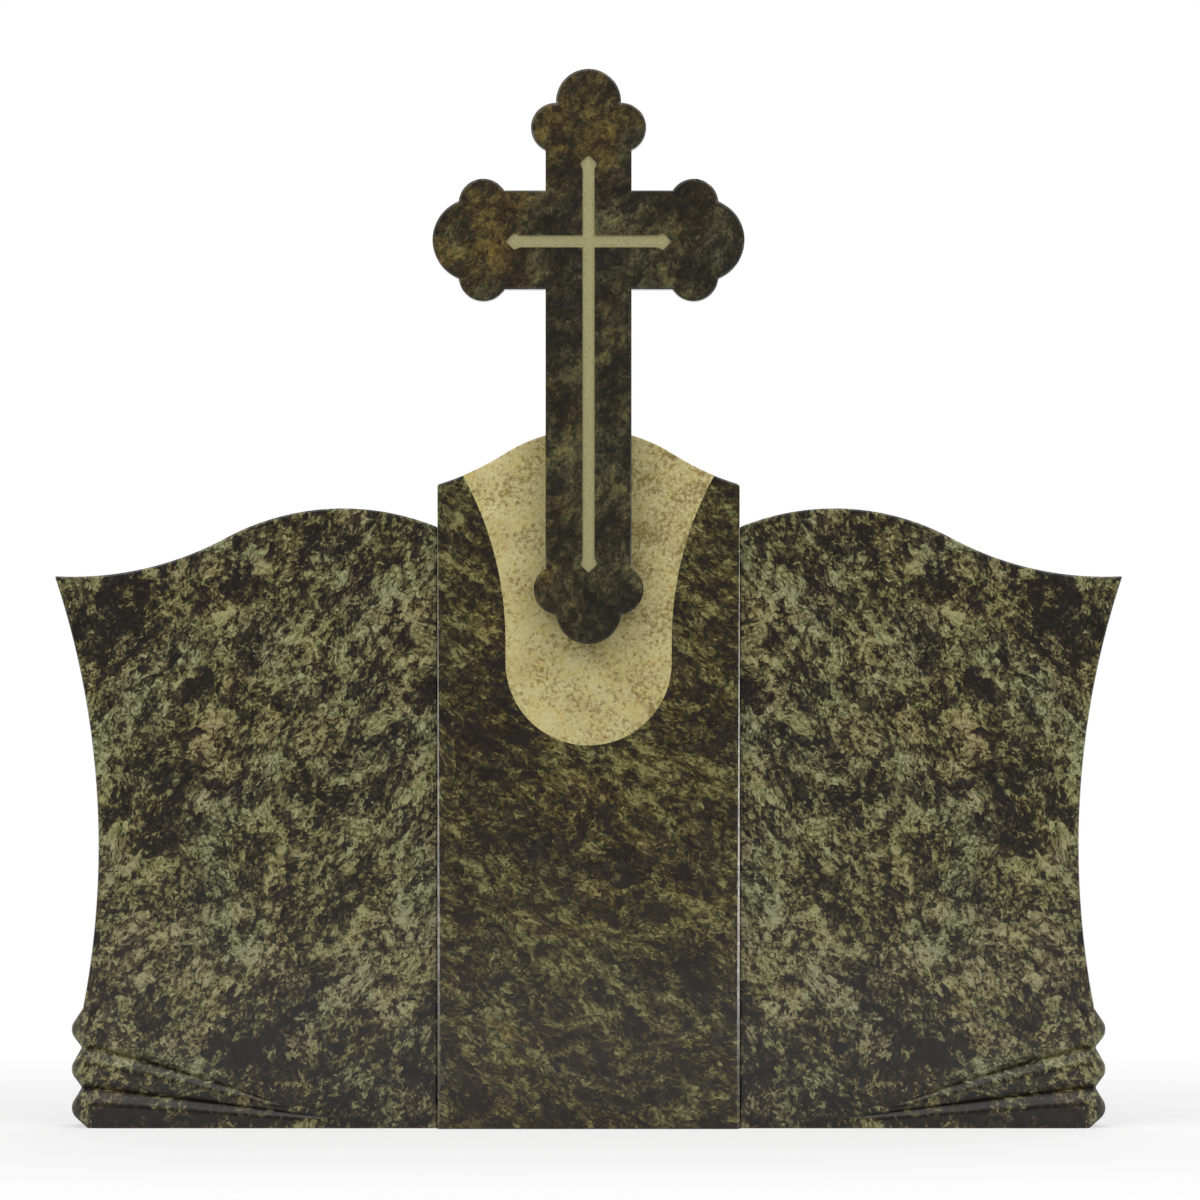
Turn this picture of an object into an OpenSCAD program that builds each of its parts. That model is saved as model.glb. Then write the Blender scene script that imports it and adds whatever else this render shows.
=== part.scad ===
// Three-slab memorial headstone with a budded cross standing against its middle slab.
// Millimetres. X runs along the memorial, the front looks towards -Y, Z is up.
// The origin is on the ground, midway along and midway from front to back.

/* [Wing slabs] */

// Thickness of a wing slab, front to back
wing_t = 120; // [100:5:150]
// Distance from the joint to the pointed outer corner
wing_w = 538; // [520:1:560]
// Distance from the joint to the top of the hump
hump_u = 133; // [120:1:145]
// Height of the top of the hump
hump_z = 871; // [860:1:885]
// Radius of the hump
hump_r = 345; // [320:5:370]
// Distance from the outer corner to the lowest point of the dip
dip_in = 25; // [15:1:35]
// Height of the lowest point of the dip
dip_z = 775; // [765:1:785]
// Radius of the hollow outer edge
waist_r = 1200; // [1100:10:1400]
// Depth of the hollow outer edge
waist_in = 61.5; // [55:0.5:68]
// Width of the chamfers at the upright joints
joint_arris = 4; // [2:0.5:6]

/* [Carved folds] */

// Radius of each fold's rounded tip at the outer edge
fold_r = 20; // [18:0.5:22]
// Distance from the joint to the middles of the rounded tips
fold_u = 495; // [492:0.5:498]
// Height of the lower fold's tip
lower_fold_z = 28; // [26:0.5:30]
// Height of the middle fold's tip
middle_fold_z = 82.5; // [80:0.5:85]
// Height of the upper fold's tip
upper_fold_z = 138; // [136:0.5:140]
// Distance from the joint to the notches between the folds
notch_u = 500.5; // [498:0.5:503]
// Height of the lower notch
lower_notch_z = 57; // [55:0.5:59]
// Height of the upper notch
upper_notch_z = 113.5; // [111:0.5:115]
// Height at which the upper fold runs out into the hollow edge
folds_end_z = 172; // [170:0.5:174]
// Distance from the joint to the outer end of the flat underside
foot_u = 492; // [488:0.5:495]
// Depth of the creases where they leave the outer edge
crease_d = 14; // [8:1:18]
// Distance from the joint to the inner end of the upper crease
upper_crease_u = 229; // [200:1:260]
// Height of the inner end of the upper crease
upper_crease_z = 35; // [30:1:45]
// Distance from the joint to the inner end of the lower crease
lower_crease_u = 168; // [140:1:200]
// Height of the inner end of the lower crease
lower_crease_z = 16; // [12:1:22]

/* [Middle slab] */

// Thickness of the middle slab, front to back
slab_t = 160; // [150:5:190]
// Width of the middle slab
slab_w = 424; // [410:1:440]
// Height of the top of the bell-shaped head
bell_z = 981.5; // [970:0.5:995]
// Radius of the round part of the head
bell_r = 220; // [205:1:235]
// Distance from the middle to where the round part turns hollow
bell_turn = 118; // [105:1:130]
// Radius of the hollow shoulders
shoulder_r = 380; // [330:5:420]

/* [Inlaid panel] */

// Thickness of the inlaid panel
panel_t = 20; // [12:1:35]
// Radius of the round foot of the panel
panel_r = 116.5; // [110:0.5:122]
// Height of the middle of the round foot
panel_z = 654.5; // [645:0.5:665]
// Height at which the sides begin to flare
flare_z = 685; // [680:1:700]
// Radius of the flaring sides
flare_r = 478; // [440:1:520]

/* [Cross] */

// Thickness of the cross, front to back
cross_t = 60; // [45:1:80]
// Width of the upright
shaft_w = 120; // [116:1:124]
// Height of the arms, top to bottom
arm_h = 138; // [132:1:142]
// Height of the middle of the arms
arm_z = 1245; // [1235:1:1255]
// Chamfer around both faces of the cross
cross_arris = 3; // [1:0.5:4]
// Height of the middle of the top bud
top_bud_z = 1438.5; // [1430:0.5:1445]
// Radius of the top and foot buds
end_bud_r = 45.5; // [43:0.5:48]
// Height of the middle of the foot bud
foot_bud_z = 726; // [720:0.5:732]
// Distance from the middle of the cross to the middle of an arm's end bud
arm_bud_x = 160; // [156:1:164]
// Radius of an arm's end bud
arm_bud_r = 58; // [55:0.5:60]
// Radius of the small side buds
side_bud_r = 34.5; // [33:0.5:36]
// Distance from the end bud's middle back to the side buds, top
top_side_back = 36.5; // [33:0.5:39]
// Distance from the axis to the side buds, top
top_side_out = 46; // [44:0.5:48]
// Distance from the end bud's middle back to the side buds, foot
foot_side_back = 30.5; // [28:0.5:33]
// Distance from the axis to the side buds, foot
foot_side_out = 42; // [40:0.5:44]
// Distance from the end bud's middle back to the side buds, arms
arm_side_back = 13; // [11:0.5:16]
// Distance from the axis to the side buds, arms
arm_side_out = 51; // [49:0.5:53]

/* [Engraved line cross] */

// Width of the engraved line
line_w = 17; // [14:0.5:20]
// Depth of the engraved line
line_d = 3; // [2:0.5:5]
// Height of the upper tip
line_top_z = 1364; // [1350:1:1370]
// Height of the lower tip
line_foot_z = 780; // [775:1:800]
// Height of the middle of the cross line
line_arm_z = 1243; // [1235:1:1250]
// Distance from the axis to the tips of the cross line
line_arm_x = 116; // [105:1:125]
// Width across the barbs at each tip
barb_w = 24; // [22:0.5:30]
// Length of each pointed tip
barb_l = 12; // [10:0.5:16]
// Length over which the line widens into the barbs
barb_flare = 8; // [5:0.5:12]

/* [Hidden] */

$fn = 128;
over = 1;

slab_half = slab_w / 2;
slab_y = cross_t / 2;
slab_front = slab_y - slab_t / 2;
cross_y = slab_front - cross_t / 2;
cross_front = slab_front - cross_t;

// The hump and the dip are two arcs that touch without a kink at (meet_u, meet_z).
dip_u = wing_w - dip_in;
dip_run = dip_u - hump_u;
dip_drop = hump_z - dip_z;
dip_r = (dip_run * dip_run + dip_drop * dip_drop) / (2 * dip_drop) - hump_r;
meet_u = hump_u + dip_run * hump_r / (hump_r + dip_r);
meet_z = hump_z - dip_drop * hump_r / (hump_r + dip_r);

// The hollow outer edge ends exactly at the pointed corner.
corner_z = dip_z + dip_r - sqrt(dip_r * dip_r - dip_in * dip_in);
waist_cu = wing_w - waist_in + waist_r;
waist_z = corner_z - sqrt(waist_r * waist_r - (waist_r - waist_in) * (waist_r - waist_in));

// Each fold's straight flanks meet its rounded tip at this angle above and below.
flank_angle = 36;
flank_out = 0.99 * fold_r * cos(flank_angle);
flank_up = 0.99 * fold_r * sin(flank_angle);
// Each crease is cut by a slim cone whose axis runs this far in front of the face.
crease_out = 3;

// The head's round part and its hollow shoulders touch without a kink.
bell_cz = bell_z - bell_r;
bell_rise = sqrt(bell_r * bell_r - bell_turn * bell_turn);
bell_turn_z = bell_cz + bell_rise;
shoulder_x = bell_turn * (bell_r + shoulder_r) / bell_r;
shoulder_cz = bell_cz + bell_rise * (bell_r + shoulder_r) / bell_r;

left_wing();
right_wing();
middle_slab();
inlaid_panel();
cross();

// Stands a flat outline upright, as thick as t, with its middle at y.
module upright(t, y) {
    translate([0, y, 0])
        rotate([90, 0, 0])
            linear_extrude(height = t, center = true)
                children();
}

// Outline of a wing from the front, measured outward from the joint.
module wing_outline() {
    difference() {
        union() {
            square([wing_w + over, meet_z]);
            intersection() {
                translate([hump_u, hump_z - hump_r])
                    circle(r = hump_r);
                square([meet_u, hump_z]);
            }
        }
        translate([dip_u, dip_z + dip_r])
            circle(r = dip_r);
        translate([waist_cu, waist_z])
            circle(r = waist_r);
        translate([fold_u - fold_r, -over])
            square([wing_w, upper_fold_z + over]);
    }
    fold(lower_fold_z, foot_u, 0, notch_u, lower_notch_z);
    fold(middle_fold_z, notch_u, lower_notch_z, notch_u, upper_notch_z);
    fold(upper_fold_z, notch_u, upper_notch_z, foot_u, folds_end_z);
}

// A fold at the outer edge, with its tip at height z, between a lower and an upper notch.
module fold(z, low_u, low_z, high_u, high_z) {
    translate([fold_u, z])
        circle(r = fold_r);
    polygon([
        [fold_u - 2 * fold_r, low_z],
        [low_u, low_z],
        [fold_u + flank_out, z - flank_up],
        [fold_u + flank_out, z + flank_up],
        [high_u, high_z],
        [fold_u - 2 * fold_r, high_z]
    ]);
}

// A crease in the front face: deepest at the notch, fading to nothing at its inner end.
module crease(notch_z, end_u, end_z) {
    run = notch_u - end_u;
    drop = notch_z - end_z;
    length = sqrt(run * run + drop * drop);
    extra = 2 * fold_r;
    start_r = crease_out - over;
    growth = (crease_d + crease_out - start_r) / length;
    translate([end_u, -wing_t / 2 - crease_out, end_z])
        rotate([0, atan2(run, drop), 0])
            cylinder(h = length + extra, r1 = start_r, r2 = start_r + growth * (length + extra));
}

// The cutter for a chamfer up a corner at (x, y) that faces out along sx and sy.
module corner_cut(x, y, sx, sy, h) {
    reach = joint_arris + over;
    translate([x, y, -over])
        linear_extrude(height = h + 2 * over)
            polygon([
                [-sx * reach, sy * over],
                [sx * over, -sy * reach],
                [sx * over, sy * over]
            ]);
}

// A wing, built outward from the joint at X = 0.
module wing() {
    difference() {
        upright(wing_t, 0)
            wing_outline();
        for (s = [-1, 1])
            corner_cut(0, s * wing_t / 2, -1, s, hump_z);
        crease(upper_notch_z, upper_crease_u, upper_crease_z);
        crease(lower_notch_z, lower_crease_u, lower_crease_z);
    }
}

module right_wing() {
    color([0.35, 0.34, 0.25])
        translate([slab_half, slab_y, 0])
            wing();
}

module left_wing() {
    color([0.35, 0.34, 0.25])
        mirror([1, 0, 0])
            translate([slab_half, slab_y, 0])
                wing();
}

// Outline of the middle slab: straight sides, hollow shoulders and a round head.
module slab_outline() {
    difference() {
        union() {
            translate([-slab_half, 0])
                square([slab_w, bell_turn_z]);
            intersection() {
                translate([0, bell_cz])
                    circle(r = bell_r);
                translate([-bell_turn, 0])
                    square([2 * bell_turn, bell_z]);
            }
        }
        for (s = [-1, 1])
            translate([s * shoulder_x, shoulder_cz])
                circle(r = shoulder_r);
    }
}

// The panel's field: a round foot, short straight sides and a flare up past the slab's head.
module panel_field() {
    translate([0, panel_z])
        circle(r = panel_r);
    difference() {
        translate([-slab_half, panel_z])
            square([slab_w, bell_z - panel_z + over]);
        for (s = [-1, 1]) {
            translate([s * (panel_r + flare_r), flare_z])
                circle(r = flare_r);
            translate([s * (panel_r + flare_r / 2) - flare_r / 2, panel_z - over])
                square([flare_r, flare_z - panel_z + over]);
        }
    }
}

module middle_slab() {
    color([0.29, 0.28, 0.2])
        difference() {
            upright(slab_t, slab_y)
                slab_outline();
            for (sx = [-1, 1])
                for (sy = [-1, 1])
                    corner_cut(sx * slab_half, slab_y + sy * slab_t / 2, sx, sy, bell_z);
            upright(panel_t + over, slab_front + (panel_t - over) / 2)
                panel_field();
        }
}

module inlaid_panel() {
    color([0.65, 0.62, 0.45])
        upright(panel_t, slab_front + panel_t / 2)
            intersection() {
                slab_outline();
                panel_field();
            }
}

// A bud of the cross: an upright disc with both rims chamfered.
module bud(x, z, r) {
    translate([x, cross_y, z])
        rotate([90, 0, 0])
            rotate_extrude()
                polygon([
                    [0, -cross_t / 2],
                    [r - cross_arris, -cross_t / 2],
                    [r, -cross_t / 2 + cross_arris],
                    [r, cross_t / 2 - cross_arris],
                    [r - cross_arris, cross_t / 2],
                    [0, cross_t / 2]
                ]);
}

// A bar of the cross, w wide and l long, lying along Z with its four edges chamfered.
module bar(w, l) {
    linear_extrude(height = l)
        polygon([
            [-w / 2, -cross_t / 2 + cross_arris],
            [-w / 2 + cross_arris, -cross_t / 2],
            [w / 2 - cross_arris, -cross_t / 2],
            [w / 2, -cross_t / 2 + cross_arris],
            [w / 2, cross_t / 2 - cross_arris],
            [w / 2 - cross_arris, cross_t / 2],
            [-w / 2 + cross_arris, cross_t / 2],
            [-w / 2, cross_t / 2 - cross_arris]
        ]);
}

// The barbed and pointed end of a line that runs up to its tip at the origin.
module barb() {
    polygon([
        [0, 0],
        [barb_w / 2, -barb_l],
        [line_w / 2, -barb_l - barb_flare],
        [-line_w / 2, -barb_l - barb_flare],
        [-barb_w / 2, -barb_l]
    ]);
}

// The thin engraved cross with its four barbed ends.
module line_cross() {
    translate([-line_w / 2, line_foot_z + barb_l])
        square([line_w, line_top_z - line_foot_z - 2 * barb_l]);
    translate([-line_arm_x + barb_l, line_arm_z - line_w / 2])
        square([2 * (line_arm_x - barb_l), line_w]);
    translate([0, line_top_z])
        barb();
    translate([0, line_foot_z])
        rotate(180)
            barb();
    translate([line_arm_x, line_arm_z])
        rotate(-90)
            barb();
    translate([-line_arm_x, line_arm_z])
        rotate(90)
            barb();
}

module cross() {
    color([0.26, 0.23, 0.17])
        difference() {
            union() {
                translate([0, cross_y, foot_bud_z])
                    bar(shaft_w, top_bud_z - foot_bud_z - top_side_back + over);
                translate([-arm_bud_x + arm_side_back, cross_y, arm_z])
                    rotate([0, 90, 0])
                        bar(arm_h, 2 * (arm_bud_x - arm_side_back));
                bud(0, top_bud_z, end_bud_r);
                bud(0, foot_bud_z, end_bud_r);
                for (s = [-1, 1]) {
                    bud(s * top_side_out, top_bud_z - top_side_back, side_bud_r);
                    bud(s * foot_side_out, foot_bud_z + foot_side_back, side_bud_r);
                    bud(s * arm_bud_x, arm_z, arm_bud_r);
                    for (u = [-1, 1])
                        bud(s * (arm_bud_x - arm_side_back), arm_z + u * arm_side_out, side_bud_r);
                }
            }
            upright(line_d + over, cross_front + (line_d - over) / 2)
                line_cross();
        }
}
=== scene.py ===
import math
import bmesh
import bpy
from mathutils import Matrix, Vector


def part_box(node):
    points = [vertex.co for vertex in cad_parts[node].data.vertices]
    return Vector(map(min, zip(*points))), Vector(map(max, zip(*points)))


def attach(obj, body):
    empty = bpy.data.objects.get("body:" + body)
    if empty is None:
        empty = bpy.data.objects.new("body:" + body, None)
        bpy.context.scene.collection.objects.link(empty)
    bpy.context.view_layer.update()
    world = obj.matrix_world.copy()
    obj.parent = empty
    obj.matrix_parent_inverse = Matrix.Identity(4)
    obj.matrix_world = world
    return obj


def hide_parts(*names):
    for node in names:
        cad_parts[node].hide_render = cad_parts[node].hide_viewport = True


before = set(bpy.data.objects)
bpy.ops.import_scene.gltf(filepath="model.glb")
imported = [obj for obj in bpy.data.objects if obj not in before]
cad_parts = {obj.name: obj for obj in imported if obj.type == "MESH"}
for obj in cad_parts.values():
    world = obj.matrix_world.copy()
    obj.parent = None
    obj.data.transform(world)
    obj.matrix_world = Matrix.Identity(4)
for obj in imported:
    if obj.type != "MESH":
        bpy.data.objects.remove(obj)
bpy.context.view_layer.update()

# ---------------------------------------------------------------- wing slabs
# Two granite slabs 120 mm thick, sawn from one block and opened like a book, so that
# their figure mirrors at the middle. The faces and edges are polished, the arrises
# eased, and three soft folds are carved into each lower outer corner.

# U is a distance out from the joint, IN one in from the tip, Z a height and R a radius.
wing_low, wing_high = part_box("right_wing")
JOINT_X, WING_FRONT = wing_low.x, wing_low.y
WING_THICK = wing_high.y - WING_FRONT
HUMP_U, HUMP_Z, HUMP_R = 0.133, 0.871, 0.345
TIP_U, DIP_IN, DIP_Z = 0.538, 0.025, 0.775
WAIST_R, WAIST_IN, WAIST_FOOT_Z = 1.200, 0.0615, 0.1685
FOLD_U, FOLD_R, FLANK = 0.495, 0.020, math.radians(36)
FOLD_TIPS = (0.138, 0.0825, 0.028)
NOTCH_U, NOTCHES = 0.5005, (0.1135, 0.057)
FOOT_U = 0.492
ARRIS = 0.003
EASED_BACK = WING_FRONT + ARRIS * 1.2
OFF_GROUND = 0.0005

# Each crease runs in from its notch to its end, given as U, Z and a bow. It is deepest at
# the notch. The rolls' own ends are rounded back, and that fades out above the top roll.
CREASE_U, CREASE_DEEP = 0.486, 0.015
CREASE_ABOVE, CREASE_BELOW = 0.015, 0.027
CREASE_ENDS = ((0.215, 0.031, 0.05), (0.150, 0.014, 0.02))
END_ROUND, FADE_Z, FADE_TALL = 0.019, 0.182, 0.040

# The net that is carved: where its lines begin or end, their number and their spacing.
NET_U, WIDE_LINES, WIDE_STEP = 0.140, 79, 0.0044
TIP_NET_U, TIP_LINES, TIP_STEP = 0.485, 18, 0.0017
NET_TOP, LEVEL_STEP, CREASE_STEP = 0.186, 0.003, 0.0013
NEAR = 0.0001


def swing_arc(bm, point, centre, turn, steps):
    """Swings a compass line from a point, clockwise from the front, and returns its end."""
    swung = bmesh.ops.spin(bm, geom=[point], cent=centre, axis=(0, 1, 0), dvec=(0, 0, 0),
                           angle=turn, steps=steps, use_merge=False,
                           use_normal_flip=False, use_duplicate=False)
    return [g for g in swung["geom_last"] if isinstance(g, bmesh.types.BMVert)][0]


def rule_line(bm, point, x, z):
    """Rules a straight line from a point to (x, z) and returns its end."""
    end = bmesh.ops.extrude_vert_indiv(bm, verts=[point])["verts"][0]
    end.co = (x, point.co.y, z)
    return end


def ease_edges(bm, edges):
    """Takes the sharpness off these edges."""
    bmesh.ops.bevel(bm, geom=edges, offset=ARRIS, offset_type="OFFSET", affect="EDGES",
                    segments=3, profile=0.5, clamp_overlap=True, material=-1)


def draw_wing(bm):
    """The right wing's outline, drawn from the joint over the hump and down to the foot."""
    dip_u = TIP_U - DIP_IN
    run = dip_u - HUMP_U
    drop = HUMP_Z - DIP_Z
    dip_r = (run * run + drop * drop) / (2 * drop) - HUMP_R
    meet_u = HUMP_U + run * HUMP_R / (HUMP_R + dip_r)
    hump_cz = HUMP_Z - HUMP_R
    corner_z = DIP_Z + dip_r - math.sqrt(dip_r ** 2 - DIP_IN ** 2)
    waist_z = corner_z - math.sqrt(WAIST_R ** 2 - (WAIST_R - WAIST_IN) ** 2)

    start = bm.verts.new((JOINT_X, WING_FRONT, 0))
    joint_top = hump_cz + math.sqrt(HUMP_R ** 2 - HUMP_U ** 2)
    point = rule_line(bm, start, JOINT_X, joint_top)
    turn = math.asin(HUMP_U / HUMP_R) + math.asin((meet_u - HUMP_U) / HUMP_R)
    point = swing_arc(bm, point, (JOINT_X + HUMP_U, WING_FRONT, hump_cz), turn, 36)
    turn = math.asin((dip_u - meet_u) / dip_r) + math.asin(DIP_IN / dip_r)
    point = swing_arc(bm, point, (JOINT_X + dip_u, WING_FRONT, DIP_Z + dip_r), -turn, 24)

    waist_cu = TIP_U - WAIST_IN + WAIST_R
    turn = math.asin((corner_z - waist_z) / WAIST_R) + math.asin((waist_z - WAIST_FOOT_Z) / WAIST_R)
    point = swing_arc(bm, point, (JOINT_X + waist_cu, WING_FRONT, waist_z), -turn, 48)

    for number, tip_z in enumerate(FOLD_TIPS):
        point = rule_line(bm, point, JOINT_X + FOLD_U + FOLD_R * math.cos(FLANK),
                          tip_z + FOLD_R * math.sin(FLANK))
        point = swing_arc(bm, point, (JOINT_X + FOLD_U, WING_FRONT, tip_z), 2 * FLANK, 10)
        if number < len(NOTCHES):
            point = rule_line(bm, point, JOINT_X + NOTCH_U, NOTCHES[number])
    point = rule_line(bm, point, JOINT_X + FOOT_U, 0)
    bm.edges.new((point, start))


def tip_depth(u, z):
    """How far the rounded end of a fold lies behind the face at (u, z)."""
    inside = 0.0
    for tip_z in FOLD_TIPS:
        out, up = u - FOLD_U, abs(z - tip_z)
        if up <= out * math.tan(FLANK):
            reach = math.hypot(out, up)
        else:
            reach = out * math.cos(FLANK) + up * math.sin(FLANK)
        inside = max(inside, FOLD_R - reach)
    fade = min(1.0, max(0.0, (FADE_Z - z) / FADE_TALL))
    fade = fade * fade * (3 - 2 * fade)
    gap = max(0.0, 1 - inside / END_ROUND)
    return fade * END_ROUND * (1 - math.sqrt(1 - gap * gap))


def crease_line(u, notch_z, inner):
    """The height of a crease at u, and how far along it that is, from 0 at the notch to 1."""
    inner_u, inner_z, bow = inner
    t = min(1.0, max(0.0, (CREASE_U - u) / (CREASE_U - inner_u)))
    return notch_z - (notch_z - inner_z) * (t - bow * math.sin(math.pi * t)), t


def crease_depth(u, z, notch_z, inner):
    """The depth of a crease: the roll above curls under it, and the one below rises slowly."""
    line_z, t = crease_line(u, notch_z, inner)
    deep = CREASE_DEEP * (1 - t) ** 0.75
    reach = (CREASE_ABOVE if z > line_z else CREASE_BELOW) * (0.30 + 0.70 * (1 - t))
    gap = 1 - abs(z - line_z) / reach
    if gap <= 0:
        return 0.0
    return deep * (1 - math.sqrt(1 - min(gap, 0.985) ** 2))


def net_heights():
    """The heights of the net's level lines, close together at both creases."""
    heights = []
    z = LEVEL_STEP
    while z < NET_TOP - 0.002:
        heights.append(z)
        close = any(-0.022 < z - notch_z < 0.014 for notch_z in NOTCHES)
        z += CREASE_STEP if close else LEVEL_STEP
    return heights


def bent_height(u, z):
    """Where a level line of the net goes at u, when the lines at the notches follow the creases."""
    rows = [(0.0, 0.0)]
    rows += [(notch_z, crease_line(u, notch_z, inner)[0])
             for notch_z, inner in zip(NOTCHES, CREASE_ENDS)][::-1]
    rows.append((NET_TOP, NET_TOP))
    for (low, low_now), (high, high_now) in zip(rows, rows[1:]):
        if low <= z <= high:
            return low_now + (z - low) * (high_now - low_now) / (high - low)
    return z


def carve_folds(bm):
    """Cuts the front of the lower outer corner into a fine net and carves the folds in it."""
    upright = [((JOINT_X + NET_U + WIDE_STEP * i, 0, 0), (1, 0, 0)) for i in range(WIDE_LINES)]
    upright += [((JOINT_X + TIP_NET_U + TIP_STEP * i, 0, 0), (1, 0, 0)) for i in range(TIP_LINES)]
    level = [((0, 0, z), (0, 0, 1)) for z in net_heights()]
    cuts = [((0, 0, NET_TOP), (0, 0, 1))] + upright[:1] + level + upright[1:]
    for number, (place, facing) in enumerate(cuts):
        if number < 3:
            faces = [f for f in bm.faces if all(v.co.y < EASED_BACK for v in f.verts)
                     and (number < 1 or all(v.co.z < NET_TOP + NEAR for v in f.verts))
                     and (number < 2 or all(v.co.x > JOINT_X + NET_U - NEAR for v in f.verts))]
            net = faces + list({e for f in faces for e in f.edges})
            net += list({v for f in faces for v in f.verts})
        net = bmesh.ops.bisect_plane(bm, geom=net, dist=0.0002, plane_co=place, plane_no=facing)["geom"]

    for v in bm.verts:
        u, z = v.co.x - JOINT_X, v.co.z
        if v.co.y < EASED_BACK and u > NET_U - 0.001 and z < NET_TOP + NEAR:
            if v.co.y < WING_FRONT + NEAR and u < CREASE_U:
                z = bent_height(u, z)
                v.co.z = z
            cut = [tip_depth(u, z)]
            cut += [crease_depth(u, z, notch_z, inner) for notch_z, inner in zip(NOTCHES, CREASE_ENDS)]
            v.co.y += sum(c ** 4 for c in cut) ** 0.25


def finish_stone(bm, name, node, polish, sawn):
    """Makes a stone piece of a mesh: polished all over, but sawn at its back and underside."""
    mesh = bpy.data.meshes.new(name)
    mesh.materials.append(polish)
    mesh.materials.append(sawn)
    for f in bm.faces:
        f.smooth = True
        if f.normal.y > 0.9 or f.normal.z < -0.9 and f.calc_center_median().z < 0.001:
            f.material_index = 1
    bm.to_mesh(mesh)
    mesh.set_sharp_from_angle(angle=math.radians(38))
    piece = bpy.data.objects.new(name, mesh)
    bpy.context.scene.collection.objects.link(piece)
    weighted = piece.modifiers.new("flat faces stay flat", "WEIGHTED_NORMAL")
    weighted.keep_sharp = True
    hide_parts(node)
    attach(piece, "root")
    return piece


def new_group(name, inputs, outputs):
    """A shader node group with named sockets."""
    group = bpy.data.node_groups.new(name, "ShaderNodeTree")
    for label, kind, value in inputs:
        socket = group.interface.new_socket(name=label, in_out="INPUT", socket_type=kind)
        if value is not None:
            socket.default_value = value
    for label, kind in outputs:
        group.interface.new_socket(name=label, in_out="OUTPUT", socket_type=kind)
    return group, group.nodes.new("NodeGroupInput"), group.nodes.new("NodeGroupOutput")


def wire(tree, source, target):
    """Joins an output socket to an input socket."""
    tree.links.new(source, target)


def new_material(name):
    """An empty material, its node tree, and the places on the piece in metres."""
    material = bpy.data.materials.new(name)
    material.use_nodes = True
    tree = material.node_tree
    tree.nodes.clear()
    return material, tree, tree.nodes.new("ShaderNodeTexCoord").outputs["Object"]


def surface(tree, colour, roughness, relief, strength, distance):
    """Ends a stone's material: its colour, its roughness and a fine relief, given as a bump."""
    shader = tree.nodes.new("ShaderNodeBsdfPrincipled")
    bump = tree.nodes.new("ShaderNodeBump")
    bump.inputs["Strength"].default_value = strength
    bump.inputs["Distance"].default_value = distance
    wire(tree, relief, bump.inputs["Height"])
    wire(tree, colour, shader.inputs["Base Color"])
    wire(tree, roughness, shader.inputs["Roughness"])
    wire(tree, bump.outputs[0], shader.inputs["Normal"])
    wire(tree, shader.outputs[0], tree.nodes.new("ShaderNodeOutputMaterial").inputs[0])


def placed_group(tree, group, values):
    """Puts a node group into a tree; each value is a socket, a number or a colour."""
    node = tree.nodes.new("ShaderNodeGroup")
    node.node_tree = group
    for label, value in values.items():
        if isinstance(value, (int, float)):
            node.inputs[label].default_value = value
        elif isinstance(value, tuple):
            node.inputs[label].default_value = (*value, 1.0)
        else:
            wire(tree, value, node.inputs[label])
    return node.outputs


def math_node(tree, operation, first, second=None, third=None):
    """A Math node whose inputs are sockets or numbers."""
    node = tree.nodes.new("ShaderNodeMath")
    node.operation = operation
    for i, value in enumerate((first, second, third)):
        if value is None:
            continue
        if isinstance(value, (int, float)):
            node.inputs[i].default_value = value
        else:
            wire(tree, value, node.inputs[i])
    return node.outputs[0]


def noise_node(tree, vector, scale, detail, roughness=0.5, distortion=0.0):
    """A Noise Texture node whose scale is a socket or a number."""
    node = tree.nodes.new("ShaderNodeTexNoise")
    wire(tree, vector, node.inputs["Vector"])
    if isinstance(scale, (int, float)):
        node.inputs["Scale"].default_value = scale
    else:
        wire(tree, scale, node.inputs["Scale"])
    node.inputs["Detail"].default_value = detail
    node.inputs["Roughness"].default_value = roughness
    node.inputs["Distortion"].default_value = distortion
    return node


def range_node(tree, value, low, high, to_low=0.0, to_high=1.0, smooth=False):
    """A Map Range node: where the value runs from low to high, this runs from to_low to to_high."""
    node = tree.nodes.new("ShaderNodeMapRange")
    node.interpolation_type = "SMOOTHSTEP" if smooth else "LINEAR"
    wire(tree, value, node.inputs["Value"])
    node.inputs["From Min"].default_value = low
    node.inputs["From Max"].default_value = high
    node.inputs["To Min"].default_value = to_low
    node.inputs["To Max"].default_value = to_high
    return node.outputs["Result"]


def mix_node(tree, factor, first, second, blend="MIX"):
    """A colour Mix node whose inputs are sockets or colours."""
    node = tree.nodes.new("ShaderNodeMix")
    node.data_type = "RGBA"
    node.blend_type = blend
    for socket, value in ((node.inputs[0], factor), (node.inputs[6], first), (node.inputs[7], second)):
        if isinstance(value, (int, float)):
            socket.default_value = value
        elif isinstance(value, tuple):
            socket.default_value = (*value, 1.0)
        else:
            wire(tree, value, socket)
    return node.outputs[2]


def vector_node(tree, operation, first, second, third=None):
    """A Vector Math node whose inputs are sockets or triples."""
    node = tree.nodes.new("ShaderNodeVectorMath")
    node.operation = operation
    for i, value in enumerate((first, second, third)):
        if value is None:
            continue
        if isinstance(value, tuple):
            node.inputs[i].default_value = value
        else:
            wire(tree, value, node.inputs[i])
    return node.outputs[0]


def crystal_node(tree, vector, scale):
    """Grains of one size: their middles, and two numbers from 0 to 1 for each grain."""
    node = tree.nodes.new("ShaderNodeTexVoronoi")
    node.inputs["Scale"].default_value = scale
    wire(tree, vector, node.inputs["Vector"])
    parts = tree.nodes.new("ShaderNodeSeparateColor")
    wire(tree, node.outputs["Color"], parts.inputs[0])
    return node.outputs["Position"], parts.outputs[0], parts.outputs[1]


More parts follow.
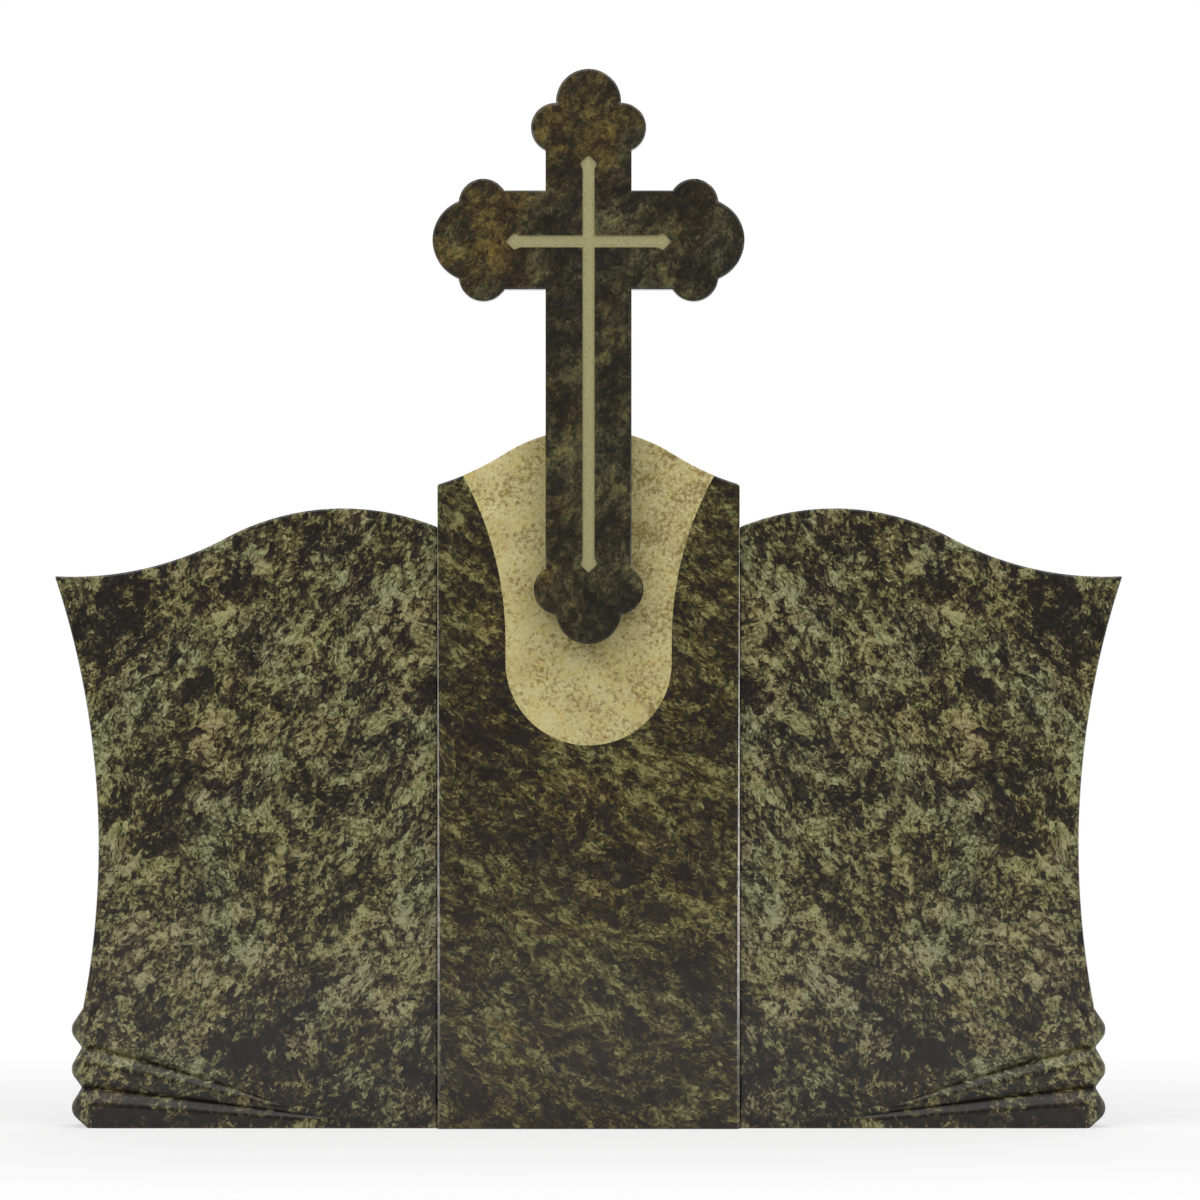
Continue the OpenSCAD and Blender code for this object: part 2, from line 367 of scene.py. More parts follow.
def drifting(tree, vector, scale, reach, onto):
    """Moves the places in onto about by a noise at vector, up to half of reach each way."""
    drift = noise_node(tree, vector, scale, 2.0).outputs["Color"]
    drift = vector_node(tree, "SUBTRACT", drift, (0.5, 0.5, 0.5))
    return vector_node(tree, "MULTIPLY_ADD", drift, reach, onto)


def cloud_tone(group, given, grain_at, grain_tone, speck_at, speck_tone):
    """Every crystal's tone: that of the clouds, blotches and flakes at its middle, with a
    little of its own. It also gives the clouds, because the seams follow them."""
    clouds = noise_node(group, grain_at, 10.0, 2.0, 0.5).outputs[0]
    blotches = noise_node(group, grain_at, given.outputs["Blotch Scale"], 3.0, 0.6).outputs[0]
    flakes = noise_node(group, speck_at, 78.0, 3.0, 0.6).outputs[0]
    tone = math_node(group, "MULTIPLY_ADD", clouds, 0.9, -2.15)
    tone = math_node(group, "MULTIPLY_ADD", blotches, 1.75, tone)
    tone = math_node(group, "MULTIPLY_ADD", flakes, 1.65, tone)
    grit = math_node(group, "MULTIPLY_ADD", grain_tone, 0.24, -0.26)
    grit = math_node(group, "MULTIPLY_ADD", speck_tone, 0.28, grit)
    tone = math_node(group, "MULTIPLY_ADD", grit, given.outputs["Grain"], tone)
    tone = math_node(group, "MULTIPLY_ADD", tone, given.outputs["Contrast"], 0.5)
    tone = math_node(group, "ADD", tone, given.outputs["Shift"])
    return tone, clouds


def dark_seams(group, given, flow, clouds, tone):
    """Darkens the tone along seams, which fade where the clouds are dark."""
    seams = group.nodes.new("ShaderNodeTexVoronoi")
    seams.feature = "DISTANCE_TO_EDGE"
    seams.inputs["Scale"].default_value = 40.0
    wire(group, flow, seams.inputs["Vector"])
    seam = range_node(group, seams.outputs["Distance"], 0.02, 0.16, 1.0, 0.0, smooth=True)
    broken = range_node(group, clouds, 0.40, 0.60, 0.25, 1.0)
    seam = math_node(group, "MULTIPLY", math_node(group, "MULTIPLY", seam, broken), given.outputs["Eyes"])
    return math_node(group, "MULTIPLY_ADD", seam, -0.17, tone)


def pale_eyes(group, given, flow, tone):
    """Sets pale eyes ringed with dark into the tone. It also gives the hearts of the eyes."""
    eyes = group.nodes.new("ShaderNodeTexVoronoi")
    eyes.inputs["Scale"].default_value = 17.0
    wire(group, flow, eyes.inputs["Vector"])
    kind = group.nodes.new("ShaderNodeSeparateColor")
    wire(group, eyes.outputs["Color"], kind.inputs[0])
    chosen = math_node(group, "MULTIPLY", math_node(group, "GREATER_THAN", kind.outputs[0], 0.62),
                       given.outputs["Eyes"])
    inner = range_node(group, eyes.outputs["Distance"], 0.34, 0.44, 1.0, 0.0, smooth=True)
    outer = range_node(group, eyes.outputs["Distance"], 0.46, 0.56, 1.0, 0.0, smooth=True)
    heart = math_node(group, "MULTIPLY", inner, chosen)
    ring = math_node(group, "MULTIPLY", math_node(group, "SUBTRACT", outer, inner), chosen)
    tone = math_node(group, "MULTIPLY_ADD", heart, 0.15, tone)
    return math_node(group, "MULTIPLY_ADD", ring, -0.15, tone), heart


def stone_shade(group, given, tone, grain_at, flow, heart):
    """Turns the tone into colour, with rusty patches and a hue that drifts between two."""
    shade = given.outputs["Deep"]
    for label, low, high in (("Dark", 0.05, 0.36), ("Middle", 0.36, 0.51), ("Light", 0.51, 0.67),
                             ("Pale", 0.67, 0.95)):
        shade = mix_node(group, range_node(group, tone, low, high), shade, given.outputs[label])
    rust = noise_node(group, grain_at, 16.0, 2.0).outputs[0]
    rust = math_node(group, "MAXIMUM", range_node(group, rust, 0.48, 0.66, smooth=True), heart)
    shade = mix_node(group, rust, shade, mix_node(group, 1.0, shade, given.outputs["Brown"], "MULTIPLY"))
    hue = range_node(group, noise_node(group, flow, 13.0, 2.0).outputs[0], 0.36, 0.64, smooth=True)
    hue = mix_node(group, hue, (1.03, 1.0, 0.83), (0.98, 1.0, 1.00))
    return mix_node(group, 1.0, shade, hue, "MULTIPLY")


def mottled_granite():
    """The stone's figure. Every crystal takes its tone from the cloud that it lies in, so that
    dark and pale patches end in ragged, grainy edges; pale eyes lie in it, ringed with dark."""
    group, given, out = new_group(
        "mottled granite",
        [("Vector", "NodeSocketVector", None),
         ("Blotch Scale", "NodeSocketFloat", 30.0),
         ("Contrast", "NodeSocketFloat", 1.0),
         ("Grain", "NodeSocketFloat", 1.0),
         ("Eyes", "NodeSocketFloat", 1.0),
         ("Shift", "NodeSocketFloat", 0.0),
         ("Deep", "NodeSocketColor", (0.01, 0.01, 0.01, 1)),
         ("Dark", "NodeSocketColor", (0.04, 0.04, 0.02, 1)),
         ("Middle", "NodeSocketColor", (0.08, 0.08, 0.04, 1)),
         ("Light", "NodeSocketColor", (0.13, 0.13, 0.06, 1)),
         ("Pale", "NodeSocketColor", (0.2, 0.2, 0.1, 1)),
         ("Brown", "NodeSocketColor", (1.1, 0.95, 0.85, 1))],
        [("Color", "NodeSocketColor"), ("Crystal", "NodeSocketFloat")])
    place = given.outputs["Vector"]

    flow = drifting(group, place, 9.0, (0.045, 0.045, 0.045), place)
    flow = drifting(group, place, 95.0, (0.010, 0.010, 0.010), flow)

    grain_at, grain_tone, sheen = crystal_node(group, flow, 150.0)
    speck_at, speck_tone, _ = crystal_node(group, flow, 360.0)

    tone, clouds = cloud_tone(group, given, grain_at, grain_tone, speck_at, speck_tone)
    tone = dark_seams(group, given, flow, clouds, tone)
    tone, heart = pale_eyes(group, given, flow, tone)
    shade = stone_shade(group, given, tone, grain_at, flow, heart)
    glint = range_node(group, speck_tone, 0.0, 1.0, 0.72, 1.28)
    scaled = group.nodes.new("ShaderNodeVectorMath")
    scaled.operation = "SCALE"
    wire(group, shade, scaled.inputs[0])
    wire(group, glint, scaled.inputs["Scale"])
    wire(group, scaled.outputs[0], out.inputs["Color"])
    wire(group, sheen, out.inputs["Crystal"])
    return group


def fine_grain():
    """The grain that a finish is felt by, for bump, roughness and fine changes of colour."""
    group, given, out = new_group(
        "fine grain",
        [("Vector", "NodeSocketVector", None),
         ("Scale", "NodeSocketFloat", 170.0),
         ("Detail", "NodeSocketFloat", 1.0)],
        [("Value", "NodeSocketFloat")])
    noise = noise_node(group, given.outputs["Vector"], given.outputs["Scale"], 1.0, 0.6)
    wire(group, given.outputs["Detail"], noise.inputs["Detail"])
    wire(group, noise.outputs[0], out.inputs["Value"])
    return group


def saw_marks():
    """The level lines that a stone saw leaves, lying under the grey powder of the cut."""
    group, given, out = new_group(
        "saw marks",
        [("Vector", "NodeSocketVector", None),
         ("Color", "NodeSocketColor", (0.1, 0.1, 0.1, 1)),
         ("Powder", "NodeSocketColor", (0.15, 0.145, 0.115, 1)),
         ("Amount", "NodeSocketFloat", 0.39)],
        [("Color", "NodeSocketColor"), ("Height", "NodeSocketFloat")])
    rows = group.nodes.new("ShaderNodeMapping")
    rows.inputs["Scale"].default_value = (0.3, 0.3, 6.0)
    wire(group, given.outputs["Vector"], rows.inputs["Vector"])
    lines = noise_node(group, rows.outputs[0], 60.0, 2.0).outputs[0]
    veil = math_node(group, "MULTIPLY", range_node(group, lines, 0.35, 0.65, 0.77, 1.23),
                     given.outputs["Amount"])
    shade = mix_node(group, veil, given.outputs["Color"], given.outputs["Powder"])
    wire(group, shade, out.inputs["Color"])
    wire(group, lines, out.inputs["Height"])
    return group


GRANITE = mottled_granite()
FINE_GRAIN = fine_grain()
SAW_MARKS = saw_marks()


def height_side_depth(tree, coords):
    """How high, how far to the right and how far back a place on the stone is."""
    axes = tree.nodes.new("ShaderNodeSeparateXYZ")
    wire(tree, coords, axes.inputs[0])
    return axes.outputs[2], axes.outputs[0], axes.outputs[1]


# A bed says how the stone changes over a piece: paler or darker, tinted, or less glossy.
BED_GIVES = [("Shift", "NodeSocketFloat"), ("Tint", "NodeSocketColor"), ("Satin", "NodeSocketFloat")]


def granite(name, colours, figure, turn, bookmatched=False, sawn=False, bed=None):
    """A granite finish. Sawn stone has the same figure, but is rougher and paler."""
    material, tree, coords = new_material(name)
    if bookmatched:
        height, side, depth = height_side_depth(tree, coords)
        opened = tree.nodes.new("ShaderNodeCombineXYZ")
        wire(tree, math_node(tree, "ABSOLUTE", side), opened.inputs[0])
        wire(tree, depth, opened.inputs[1])
        wire(tree, height, opened.inputs[2])
        coords = opened.outputs[0]
    placed = tree.nodes.new("ShaderNodeMapping")
    placed.vector_type = "TEXTURE"
    wire(tree, coords, placed.inputs["Vector"])
    placed.inputs["Location"].default_value = turn[0]
    placed.inputs["Rotation"].default_value = turn[1]
    placed.inputs["Scale"].default_value = turn[2]

    values = {"Vector": placed.outputs[0], **figure, **colours}
    if bed:
        lie = placed_group(tree, bed, {"Vector": coords})
        values["Shift"] = lie["Shift"]
    stone = placed_group(tree, GRANITE, values)
    colour = stone["Color"]
    if bed:
        colour = mix_node(tree, 1.0, colour, lie["Tint"], "MULTIPLY")

    if sawn:
        marks = placed_group(tree, SAW_MARKS, {"Vector": coords, "Color": colour, "Amount": 0.39})
        rough = range_node(tree, stone["Crystal"], 0, 1, 0.55, 0.75)
        surface(tree, marks["Color"], rough, marks["Height"], 0.5, 0.0010)
    else:
        ripple = placed_group(tree, FINE_GRAIN, {"Vector": coords, "Scale": 170.0, "Detail": 1.0})
        gloss = range_node(tree, stone["Crystal"], 0, 1, 0.11, 0.22)
        if bed:
            gloss = math_node(tree, "ADD", gloss, lie["Satin"])
        surface(tree, colour, gloss, ripple["Value"], 0.12, 0.0003)
    return material


WING_COLOURS = {
    "Deep": (0.008, 0.006, 0.004),
    "Dark": (0.037, 0.030, 0.013),
    "Middle": (0.093, 0.087, 0.035),
    "Light": (0.141, 0.141, 0.063),
    "Pale": (0.215, 0.221, 0.116),
    "Brown": (1.08, 0.96, 1.00),
}
WING_FIGURE = {"Blotch Scale": 27.0, "Contrast": 1.12, "Grain": 1.5, "Eyes": 1.0}
WING_TURN = ((0.0, 0.0, 0.0), (0.0, math.radians(-34), 0.0), (1.0, -1.0, 1.36))

# Each cloud: how far it lies from the middle, how high, its reach, and how much paler it is. Most are the
# stone's figure; the low ones over the carved folds are also painted light and shade on the rolls.
WING_CLOUDS_AND_FOLD_SHADING = (
    (0.660, 0.725, 0.095, -0.20),
    (0.650, 0.580, 0.170, -0.08),
    (0.350, 0.790, 0.095, -0.12),
    (0.490, 0.690, 0.070, 0.13),
    (0.235, 0.670, 0.050, 0.16),
    (0.520, 0.645, 0.080, -0.10),
    (0.525, 0.565, 0.052, 0.20),
    (0.585, 0.545, 0.060, 0.14),
    (0.440, 0.560, 0.045, 0.08),
    (0.280, 0.480, 0.100, -0.12),
    (0.600, 0.460, 0.080, -0.14),
    (0.450, 0.405, 0.080, 0.12),
    (0.655, 0.405, 0.050, 0.12),
    (0.640, 0.320, 0.070, -0.14),
    (0.270, 0.240, 0.110, 0.18),
    (0.345, 0.235, 0.060, 0.16),
    (0.560, 0.240, 0.070, 0.16),
    (0.400, 0.090, 0.085, -0.16),
    (0.455, 0.095, 0.060, -0.14),
    (0.600, 0.115, 0.085, 0.12),
    (0.685, 0.078, 0.040, 0.10),
    (0.325, 0.062, 0.040, 0.10),
)


def wing_bed_and_fold_shading():
    """The block's clouds, by side and height: dark ones and pale ones, and a darker foot. Over the carved
    folds, the low clouds and the darker foot are also painted light and shade on the rolls. The stone is
    a little pinker where it is pale, and the carved folds have a satin finish."""
    group, given, out = new_group("wing bed and fold shading", [("Vector", "NodeSocketVector", None)], BED_GIVES)
    coords = given.outputs["Vector"]
    height, _, depth = height_side_depth(group, coords)
    carved = math_node(group, "MULTIPLY", math_node(group, "LESS_THAN", height, NET_TOP),
                       range_node(group, depth, WING_FRONT + NEAR, WING_FRONT + 0.0015))
    wire(group, math_node(group, "MULTIPLY", carved, 0.36), out.inputs["Satin"])
    # Darker towards the bottom; over the lower folds this is painted shade.
    total = range_node(group, height, 0.0, 0.30, -0.30, -0.055, smooth=True)
    place = drifting(group, coords, 22.0, (0.09, 0.0, 0.09), coords)
    place = vector_node(group, "MULTIPLY", place, (1.0, 0.25, 1.0))
    # The tone of each cloud is added; over the carved folds this paints light and shade onto the rolls.
    for side, up, reach, amount in WING_CLOUDS_AND_FOLD_SHADING:
        near = group.nodes.new("ShaderNodeVectorMath")
        near.operation = "DISTANCE"
        near.inputs[1].default_value = (side, 0.0, up)
        wire(group, place, near.inputs[0])
        cloud = range_node(group, near.outputs["Value"], reach * 0.5, reach, amount, 0.0, smooth=True)
        total = math_node(group, "ADD", total, cloud)
    wire(group, total, out.inputs["Shift"])
    pink = range_node(group, total, 0.02, 0.15, smooth=True)
    wire(group, mix_node(group, pink, (1.0, 1.0, 1.0), (1.06, 0.99, 1.04)), out.inputs["Tint"])
    return group


WING_BED_AND_FOLD_SHADING = wing_bed_and_fold_shading()
wing_polish = granite("polished olive granite", WING_COLOURS, WING_FIGURE, WING_TURN,
                      bookmatched=True, bed=WING_BED_AND_FOLD_SHADING)
wing_sawn = granite("sawn olive granite", WING_COLOURS, WING_FIGURE, WING_TURN,
                    bookmatched=True, sawn=True, bed=WING_BED_AND_FOLD_SHADING)

for node, side in (("right_wing", 1), ("left_wing", -1)):
    bm = bmesh.new()
    draw_wing(bm)
    bmesh.ops.contextual_create(bm, geom=bm.edges[:])
    risen = bmesh.ops.extrude_face_region(bm, geom=bm.faces[:], use_keep_orig=True)
    back = [g for g in risen["geom"] if isinstance(g, bmesh.types.BMVert)]
    bmesh.ops.translate(bm, verts=back, vec=(0, WING_THICK, 0))
    bmesh.ops.recalc_face_normals(bm, faces=bm.faces[:])
    rims = [e for e in bm.edges if e.calc_face_angle(0) > math.radians(35)
            and max(v.co.z for v in e.verts) > OFF_GROUND]
    ease_edges(bm, rims)
    carve_folds(bm)
    if side < 0:
        bmesh.ops.scale(bm, vec=(-1, 1, 1), verts=bm.verts[:])
        bmesh.ops.reverse_faces(bm, faces=bm.faces[:])
    finish_stone(bm, node.replace("_wing", "_wing_slab"), node, wing_polish, wing_sawn)
    bm.free()

# ---------------------------------------------------------------- middle slab
# The tallest slab, 160 mm thick and a little proud of the wings in front and behind. It is
# of the same granite from a darker bed, with its joint corners chamfered so that the
# joints read as fine lines, and a shallow pocket in front for the panel.

# Edges that reach above SLAB_HEAD_Z belong to the slab's head, unless they are the pocket's.
SLAB_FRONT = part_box("middle_slab")[0].y
SLAB_HEAD_Z = 0.9
POCKET_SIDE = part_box("inlaid_panel")[1].x + 0.0005
POCKET_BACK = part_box("inlaid_panel")[1].y + 0.001
SLAB_COLOURS = {
    "Deep": (0.009, 0.006, 0.004),
    "Dark": (0.025, 0.018, 0.005),
    "Middle": (0.046, 0.038, 0.011),
    "Light": (0.071, 0.064, 0.020),
    "Pale": (0.150, 0.148, 0.059),
    "Brown": (1.10, 0.96, 0.90),
}
SLAB_FIGURE = {"Blotch Scale": 34.0, "Contrast": 1.10, "Grain": 1.4, "Eyes": 0.5, "Shift": -0.125}
SLAB_TURN = ((3.0, 0.0, 1.0), (0.0, math.radians(-63), 0.0), (1.0, 1.0, 1.55))
slab_polish = granite("polished dark granite", SLAB_COLOURS, SLAB_FIGURE, SLAB_TURN)
slab_sawn = granite("sawn dark granite", SLAB_COLOURS, SLAB_FIGURE, SLAB_TURN, sawn=True)


def cut_from_frame(node):
    """A clean copy of a piece's own solid, with its flat faces whole."""
    bm = bmesh.new()
    bm.from_mesh(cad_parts[node].data)
    bmesh.ops.remove_doubles(bm, verts=bm.verts[:], dist=0.00001)
    bmesh.ops.dissolve_limit(bm, angle_limit=math.radians(0.4), verts=bm.verts[:], edges=bm.edges[:],
                             use_dissolve_boundaries=False)
    return bm


def outer_corners(bm, chosen):
    """The sharp outer edges above the ground that chosen() picks."""
    return [e for e in bm.edges if e.calc_face_angle(0) > math.radians(60) and e.is_convex
            and max(v.co.z for v in e.verts) > OFF_GROUND and chosen(e)]


def on_head(e):
    """True for the edges round the slab's head, but not for those of the panel's pocket."""
    in_pocket = all(abs(v.co.x) < POCKET_SIDE and v.co.y < POCKET_BACK for v in e.verts)
    return max(v.co.z for v in e.verts) > SLAB_HEAD_Z and not in_pocket


bm = cut_from_frame("middle_slab")
ease_edges(bm, outer_corners(bm, on_head))
finish_stone(bm, "middle_slab_stone", "middle_slab", slab_polish, slab_sawn)
bm.free()

# ---------------------------------------------------------------- inlaid panel
# A 20 mm panel of honed beige stone let into the middle slab, flush with its face, with
# a round foot and sides that flare out to the slab's head. Brown flecks and hair
# veins run through it, thickest at its right.

# Edges wholly above PANEL_HEAD_Z run along the slab's head.
PANEL_HEAD_Z = 0.9105


def beige_stone():
    """Honed beige stone, clouded with pale and yellow, with flecks and broken veins."""
    material, tree, coords = new_material("honed beige stone")
    _, right, _ = height_side_depth(tree, coords)
    side = range_node(tree, right, -0.08, 0.14, smooth=True)

    clouds = noise_node(tree, coords, 18.0, 4.0, 0.6, 0.3).outputs[0]
    clouds = range_node(tree, clouds, 0.38, 0.64)
    shade = mix_node(tree, clouds, (0.470, 0.402, 0.178), (0.382, 0.310, 0.112))
    shade = mix_node(tree, math_node(tree, "MULTIPLY", side, 0.40), shade, (0.320, 0.262, 0.104))
    yellow = range_node(tree, noise_node(tree, coords, 45.0, 2.0).outputs[0], 0.50, 0.68, 0.0, 0.6)
    shade = mix_node(tree, yellow, shade, (0.430, 0.352, 0.096))
    grain = placed_group(tree, FINE_GRAIN, {"Vector": coords, "Scale": 330.0, "Detail": 2.0})["Value"]
    pale = range_node(tree, grain, 0.32, 0.50, 0.55, 0.0)
    shade = mix_node(tree, pale, shade, (0.560, 0.510, 0.280))

    crowd = noise_node(tree, coords, 26.0, 3.0).outputs[0]
    fleck = noise_node(tree, coords, 165.0, 3.0, 0.68, 0.3).outputs[0]
    fleck = math_node(tree, "MULTIPLY_ADD", crowd, 0.38, fleck)
    fleck = math_node(tree, "MULTIPLY_ADD", side, 0.045, fleck)
    fleck = range_node(tree, fleck, 0.70, 0.86, 0.0, 0.85)
    shade = mix_node(tree, fleck, shade, (0.165, 0.112, 0.014))

    vein = noise_node(tree, coords, 24.0, 5.0, 0.65, 1.0).outputs[0]
    away = math_node(tree, "ABSOLUTE", math_node(tree, "SUBTRACT", vein, 0.52))
    line = range_node(tree, away, 0.0, 0.026, 1.0, 0.0)
    gaps = range_node(tree, crowd, 0.44, 0.58, smooth=True)
    line = math_node(tree, "MULTIPLY", line, math_node(tree, "MULTIPLY_ADD", side, 0.60, 0.15))
    line = math_node(tree, "MULTIPLY", line, gaps)
    shade = mix_node(tree, line, shade, (0.135, 0.088, 0.018))
    surface(tree, shade, range_node(tree, grain, 0.3, 0.7, 0.42, 0.60), grain, 0.3, 0.0005)
    return material


def on_panel_head(e):
    """True for the panel's front edge along the slab's head, but not for its flaring sides."""
    return (all(v.co.y < SLAB_FRONT + 0.0002 for v in e.verts)
            and min(v.co.z for v in e.verts) > PANEL_HEAD_Z)


bm = cut_from_frame("inlaid_panel")
ease_edges(bm, outer_corners(bm, on_panel_head))
panel_finish = beige_stone()
finish_stone(bm, "inlaid_beige_panel", "inlaid_panel", panel_finish, panel_finish)
bm.free()

# ---------------------------------------------------------------- cross
# A budded cross, 60 mm thick, sawn from one slab of brown-green granite and polished. It
# is pinned through the panel, and its upper part stands free above the slab's head. A
# line cross with barbed ends is engraved 3 mm deep and filled with sand-coloured paint.

# The groove is the engraved line cross: HALF is a little over half its width.
CROSS_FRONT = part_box("cross")[0].y
GROOVE_DEEP, GROOVE_HALF = 0.003, 0.014
GROOVE_FOOT_Z, GROOVE_TOP_Z = 0.77, 1.37
GROOVE_BAR_X, GROOVE_BAR_Z = 0.118, 1.243
CROSS_COLOURS = {
    "Deep": (0.007, 0.006, 0.003),
    "Dark": (0.019, 0.016, 0.007),
    "Middle": (0.035, 0.032, 0.015),
    "Light": (0.055, 0.051, 0.023),
    "Pale": (0.102, 0.095, 0.036),
    "Brown": (1.10, 0.97, 0.85),
}
CROSS_FIGURE = {"Blotch Scale": 24.0, "Contrast": 0.95, "Grain": 0.7, "Eyes": 0.2}
CROSS_TURN = ((7.0, 0.0, 2.0), (0.0, math.radians(35), 0.0), (1.0, 1.0, 1.25))


def cross_bed():
    """The shaft is the darkest part of the cross, and the arms and the head are paler. The
    head and the left arm are a warm brown, and the rest is greener."""
    group, given, out = new_group("cross bed", [("Vector", "NodeSocketVector", None)], BED_GIVES)
    coords = given.outputs["Vector"]
    height, right, _ = height_side_depth(group, coords)
    wire(group, range_node(group, height, 1.10, 1.22, -0.16, -0.13, smooth=True), out.inputs["Shift"])
    head = range_node(group, height, 1.24, 1.38, smooth=True)
    arm = range_node(group, right, 0.02, -0.14, smooth=True)
    wisps = range_node(group, noise_node(group, coords, 13.0, 3.0).outputs[0], 0.28, 0.56, smooth=True)
    warm = math_node(group, "MULTIPLY", math_node(group, "MAXIMUM", head, arm), wisps)
    wire(group, mix_node(group, warm, (1.0, 1.0, 1.0), (1.26, 0.98, 0.60)), out.inputs["Tint"])
    return group


CROSS_BED = cross_bed()
cross_polish = granite("polished brown granite", CROSS_COLOURS, CROSS_FIGURE, CROSS_TURN, bed=CROSS_BED)
cross_sawn = granite("sawn brown granite", CROSS_COLOURS, CROSS_FIGURE, CROSS_TURN, sawn=True,
                     bed=CROSS_BED)


def sand_fill():
    """The paint in the engraved line cross, grainy and a little worn."""
    material, tree, coords = new_material("sand coloured fill")
    grain = placed_group(tree, FINE_GRAIN, {"Vector": coords, "Scale": 300.0, "Detail": 3.0})["Value"]
    wear = noise_node(tree, coords, 60.0, 4.0, 0.6).outputs[0]
    shade = range_node(tree, grain, 0.35, 0.65)
    shade = mix_node(tree, shade, (0.300, 0.275, 0.130), (0.222, 0.199, 0.090))
    shade = mix_node(tree, range_node(tree, wear, 0.58, 0.75, 0.0, 0.5), shade, (0.175, 0.150, 0.066))
    surface(tree, shade, range_node(tree, grain, 0.3, 0.7, 0.60, 0.80), grain, 0.5, 0.0004)
    return material


bm = cut_from_frame("cross")
cross_piece = finish_stone(bm, "budded_cross", "cross", cross_polish, cross_sawn)
bm.free()
cross_piece.data.materials.append(sand_fill())
for face in cross_piece.data.polygons:
    right, back, height = face.center
    in_groove = CROSS_FRONT + 0.0002 < back < CROSS_FRONT + GROOVE_DEEP + 0.0005
    on_upright = abs(right) < GROOVE_HALF and GROOVE_FOOT_Z < height < GROOVE_TOP_Z
    on_bar = abs(right) < GROOVE_BAR_X and abs(height - GROOVE_BAR_Z) < GROOVE_HALF
    if in_groove and (on_upright or on_bar):
        face.material_index = 2

# ---------------------------------------------------------------- floor, lights and camera
# A plain white floor under soft studio light: two wide lamps high in front, a soft one
# overhead and one behind, and a strip at each side that draws the chamfers as fine lines.

FLOOR_RADIUS = 40.0
SENSOR_WIDE = 36.0
CAMERA_AWAY, VIEW_WIDE = 14.0, 1.6854
CAMERA_X, CAMERA_Z = 0.016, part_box("cross")[1].z / 2


def pale_floor():
    """Matt white that keeps the shadow near the stone and is clear white further off."""
    material, tree, coords = new_material("pale floor")
    away = tree.nodes.new("ShaderNodeVectorMath")
    away.operation = "LENGTH"
    wire(tree, coords, away.inputs[0])
    far = range_node(tree, away.outputs["Value"], 1.0, 2.6, smooth=True)
    _, _, back = height_side_depth(tree, coords)
    behind = range_node(tree, back, -0.5, 1.5, smooth=True)
    speck = noise_node(tree, coords, 40.0, 2.0).outputs[0]
    path = tree.nodes.new("ShaderNodeLightPath")
    direct = math_node(tree, "MULTIPLY", path.outputs["Is Camera Ray"],
                       math_node(tree, "MULTIPLY_ADD", far, 0.42, 0.58))
    mirrored = math_node(tree, "MULTIPLY", math_node(tree, "MULTIPLY", far, behind),
                         math_node(tree, "MAXIMUM", path.outputs["Is Glossy Ray"],
                                   path.outputs["Is Transmission Ray"]))
    matt = tree.nodes.new("ShaderNodeBsdfDiffuse")
    wire(tree, mix_node(tree, speck, (0.83, 0.83, 0.83), (0.87, 0.87, 0.87)), matt.inputs["Color"])
    glowing = tree.nodes.new("ShaderNodeEmission")
    both = tree.nodes.new("ShaderNodeMixShader")
    wire(tree, math_node(tree, "MAXIMUM", direct, mirrored), both.inputs[0])
    wire(tree, matt.outputs[0], both.inputs[1])
    wire(tree, glowing.outputs[0], both.inputs[2])
    wire(tree, both.outputs[0], tree.nodes.new("ShaderNodeOutputMaterial").inputs[0])
    return material


bm = bmesh.new()
bmesh.ops.create_circle(bm, cap_ends=True, segments=96, radius=FLOOR_RADIUS)
floor_mesh = bpy.data.meshes.new("studio_floor")
bm.to_mesh(floor_mesh)
bm.free()
studio_floor = bpy.data.objects.new("studio_floor", floor_mesh)
bpy.context.scene.collection.objects.link(studio_floor)
floor_mesh.materials.append(pale_floor())


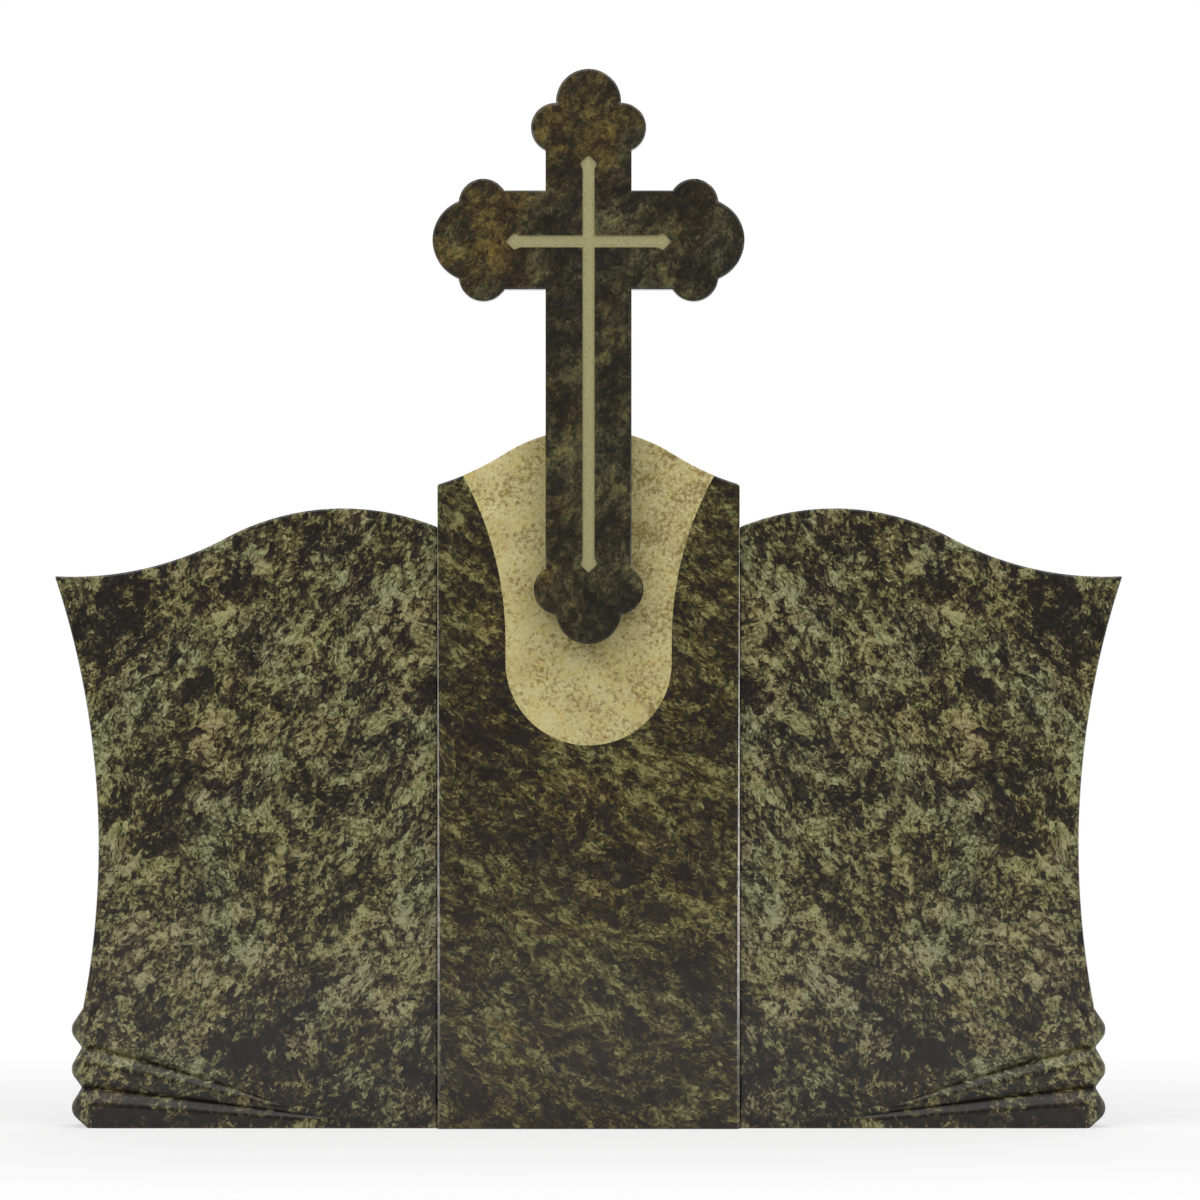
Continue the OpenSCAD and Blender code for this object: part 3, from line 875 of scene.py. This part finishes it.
def white_room():
    """Plain white to the camera, dimmer as a light, and mirrored as white only from behind."""
    world = bpy.data.worlds.new("studio")
    world.use_nodes = True
    tree = world.node_tree
    tree.nodes.clear()
    path = tree.nodes.new("ShaderNodeLightPath")
    _, _, back = height_side_depth(tree, tree.nodes.new("ShaderNodeTexCoord").outputs["Generated"])
    behind = range_node(tree, back, -0.15, 0.40, smooth=True)
    mirrored = math_node(tree, "MULTIPLY", path.outputs["Is Glossy Ray"], behind)
    white = math_node(tree, "MAXIMUM", path.outputs["Is Camera Ray"], path.outputs["Is Transmission Ray"])
    white = math_node(tree, "MAXIMUM", white, mirrored)
    room = tree.nodes.new("ShaderNodeBackground")
    room.inputs["Color"].default_value = (1, 1, 1, 1)
    wire(tree, math_node(tree, "MULTIPLY_ADD", white, 0.72, 0.28), room.inputs["Strength"])
    wire(tree, room.outputs[0], tree.nodes.new("ShaderNodeOutputWorld").inputs[0])
    return world


bpy.context.scene.world = white_room()


def studio_lamp(name, place, aim, size, power):
    """Hangs a rectangular lamp at a place and points it at its aim."""
    lamp = bpy.data.lights.new(name, "AREA")
    lamp.shape = "RECTANGLE"
    lamp.size, lamp.size_y = size
    lamp.energy = power
    holder = bpy.data.objects.new(name, lamp)
    holder.location = place
    holder.rotation_euler = (Vector(aim) - Vector(place)).to_track_quat("-Z", "Y").to_euler()
    bpy.context.scene.collection.objects.link(holder)


studio_lamp("wide_lamp_left", (-2.5, -4.8, 3.8), (0, 0, 0.7), (4.6, 3.2), 146)
studio_lamp("wide_lamp_right", (2.5, -4.8, 3.8), (0, 0, 0.7), (4.6, 3.2), 128)
studio_lamp("overhead_lamp", (0, -1.5, 4.2), (0, -0.1, 0.5), (3.4, 1.5), 48)
studio_lamp("back_lamp", (0.6, 4.8, 3.8), (0, 0, 0.7), (5.0, 3.0), 165)
studio_lamp("strip_left", (-4.2, -0.15, 0.45), (0, -0.05, 0.45), (0.6, 0.9), 10)
studio_lamp("strip_right", (4.2, -0.15, 0.45), (0, -0.05, 0.45), (0.6, 0.9), 18)

lens = bpy.data.cameras.new("camera")
lens.sensor_width = SENSOR_WIDE
lens.lens = SENSOR_WIDE * CAMERA_AWAY / VIEW_WIDE
lens.clip_end = 200.0
camera = bpy.data.objects.new("camera", lens)
camera.location = (CAMERA_X, WING_FRONT - CAMERA_AWAY, CAMERA_Z)
camera.rotation_euler = (math.radians(90), 0, 0)
bpy.context.scene.collection.objects.link(camera)
bpy.context.scene.camera = camera
bpy.context.scene.view_settings.view_transform = "Standard"
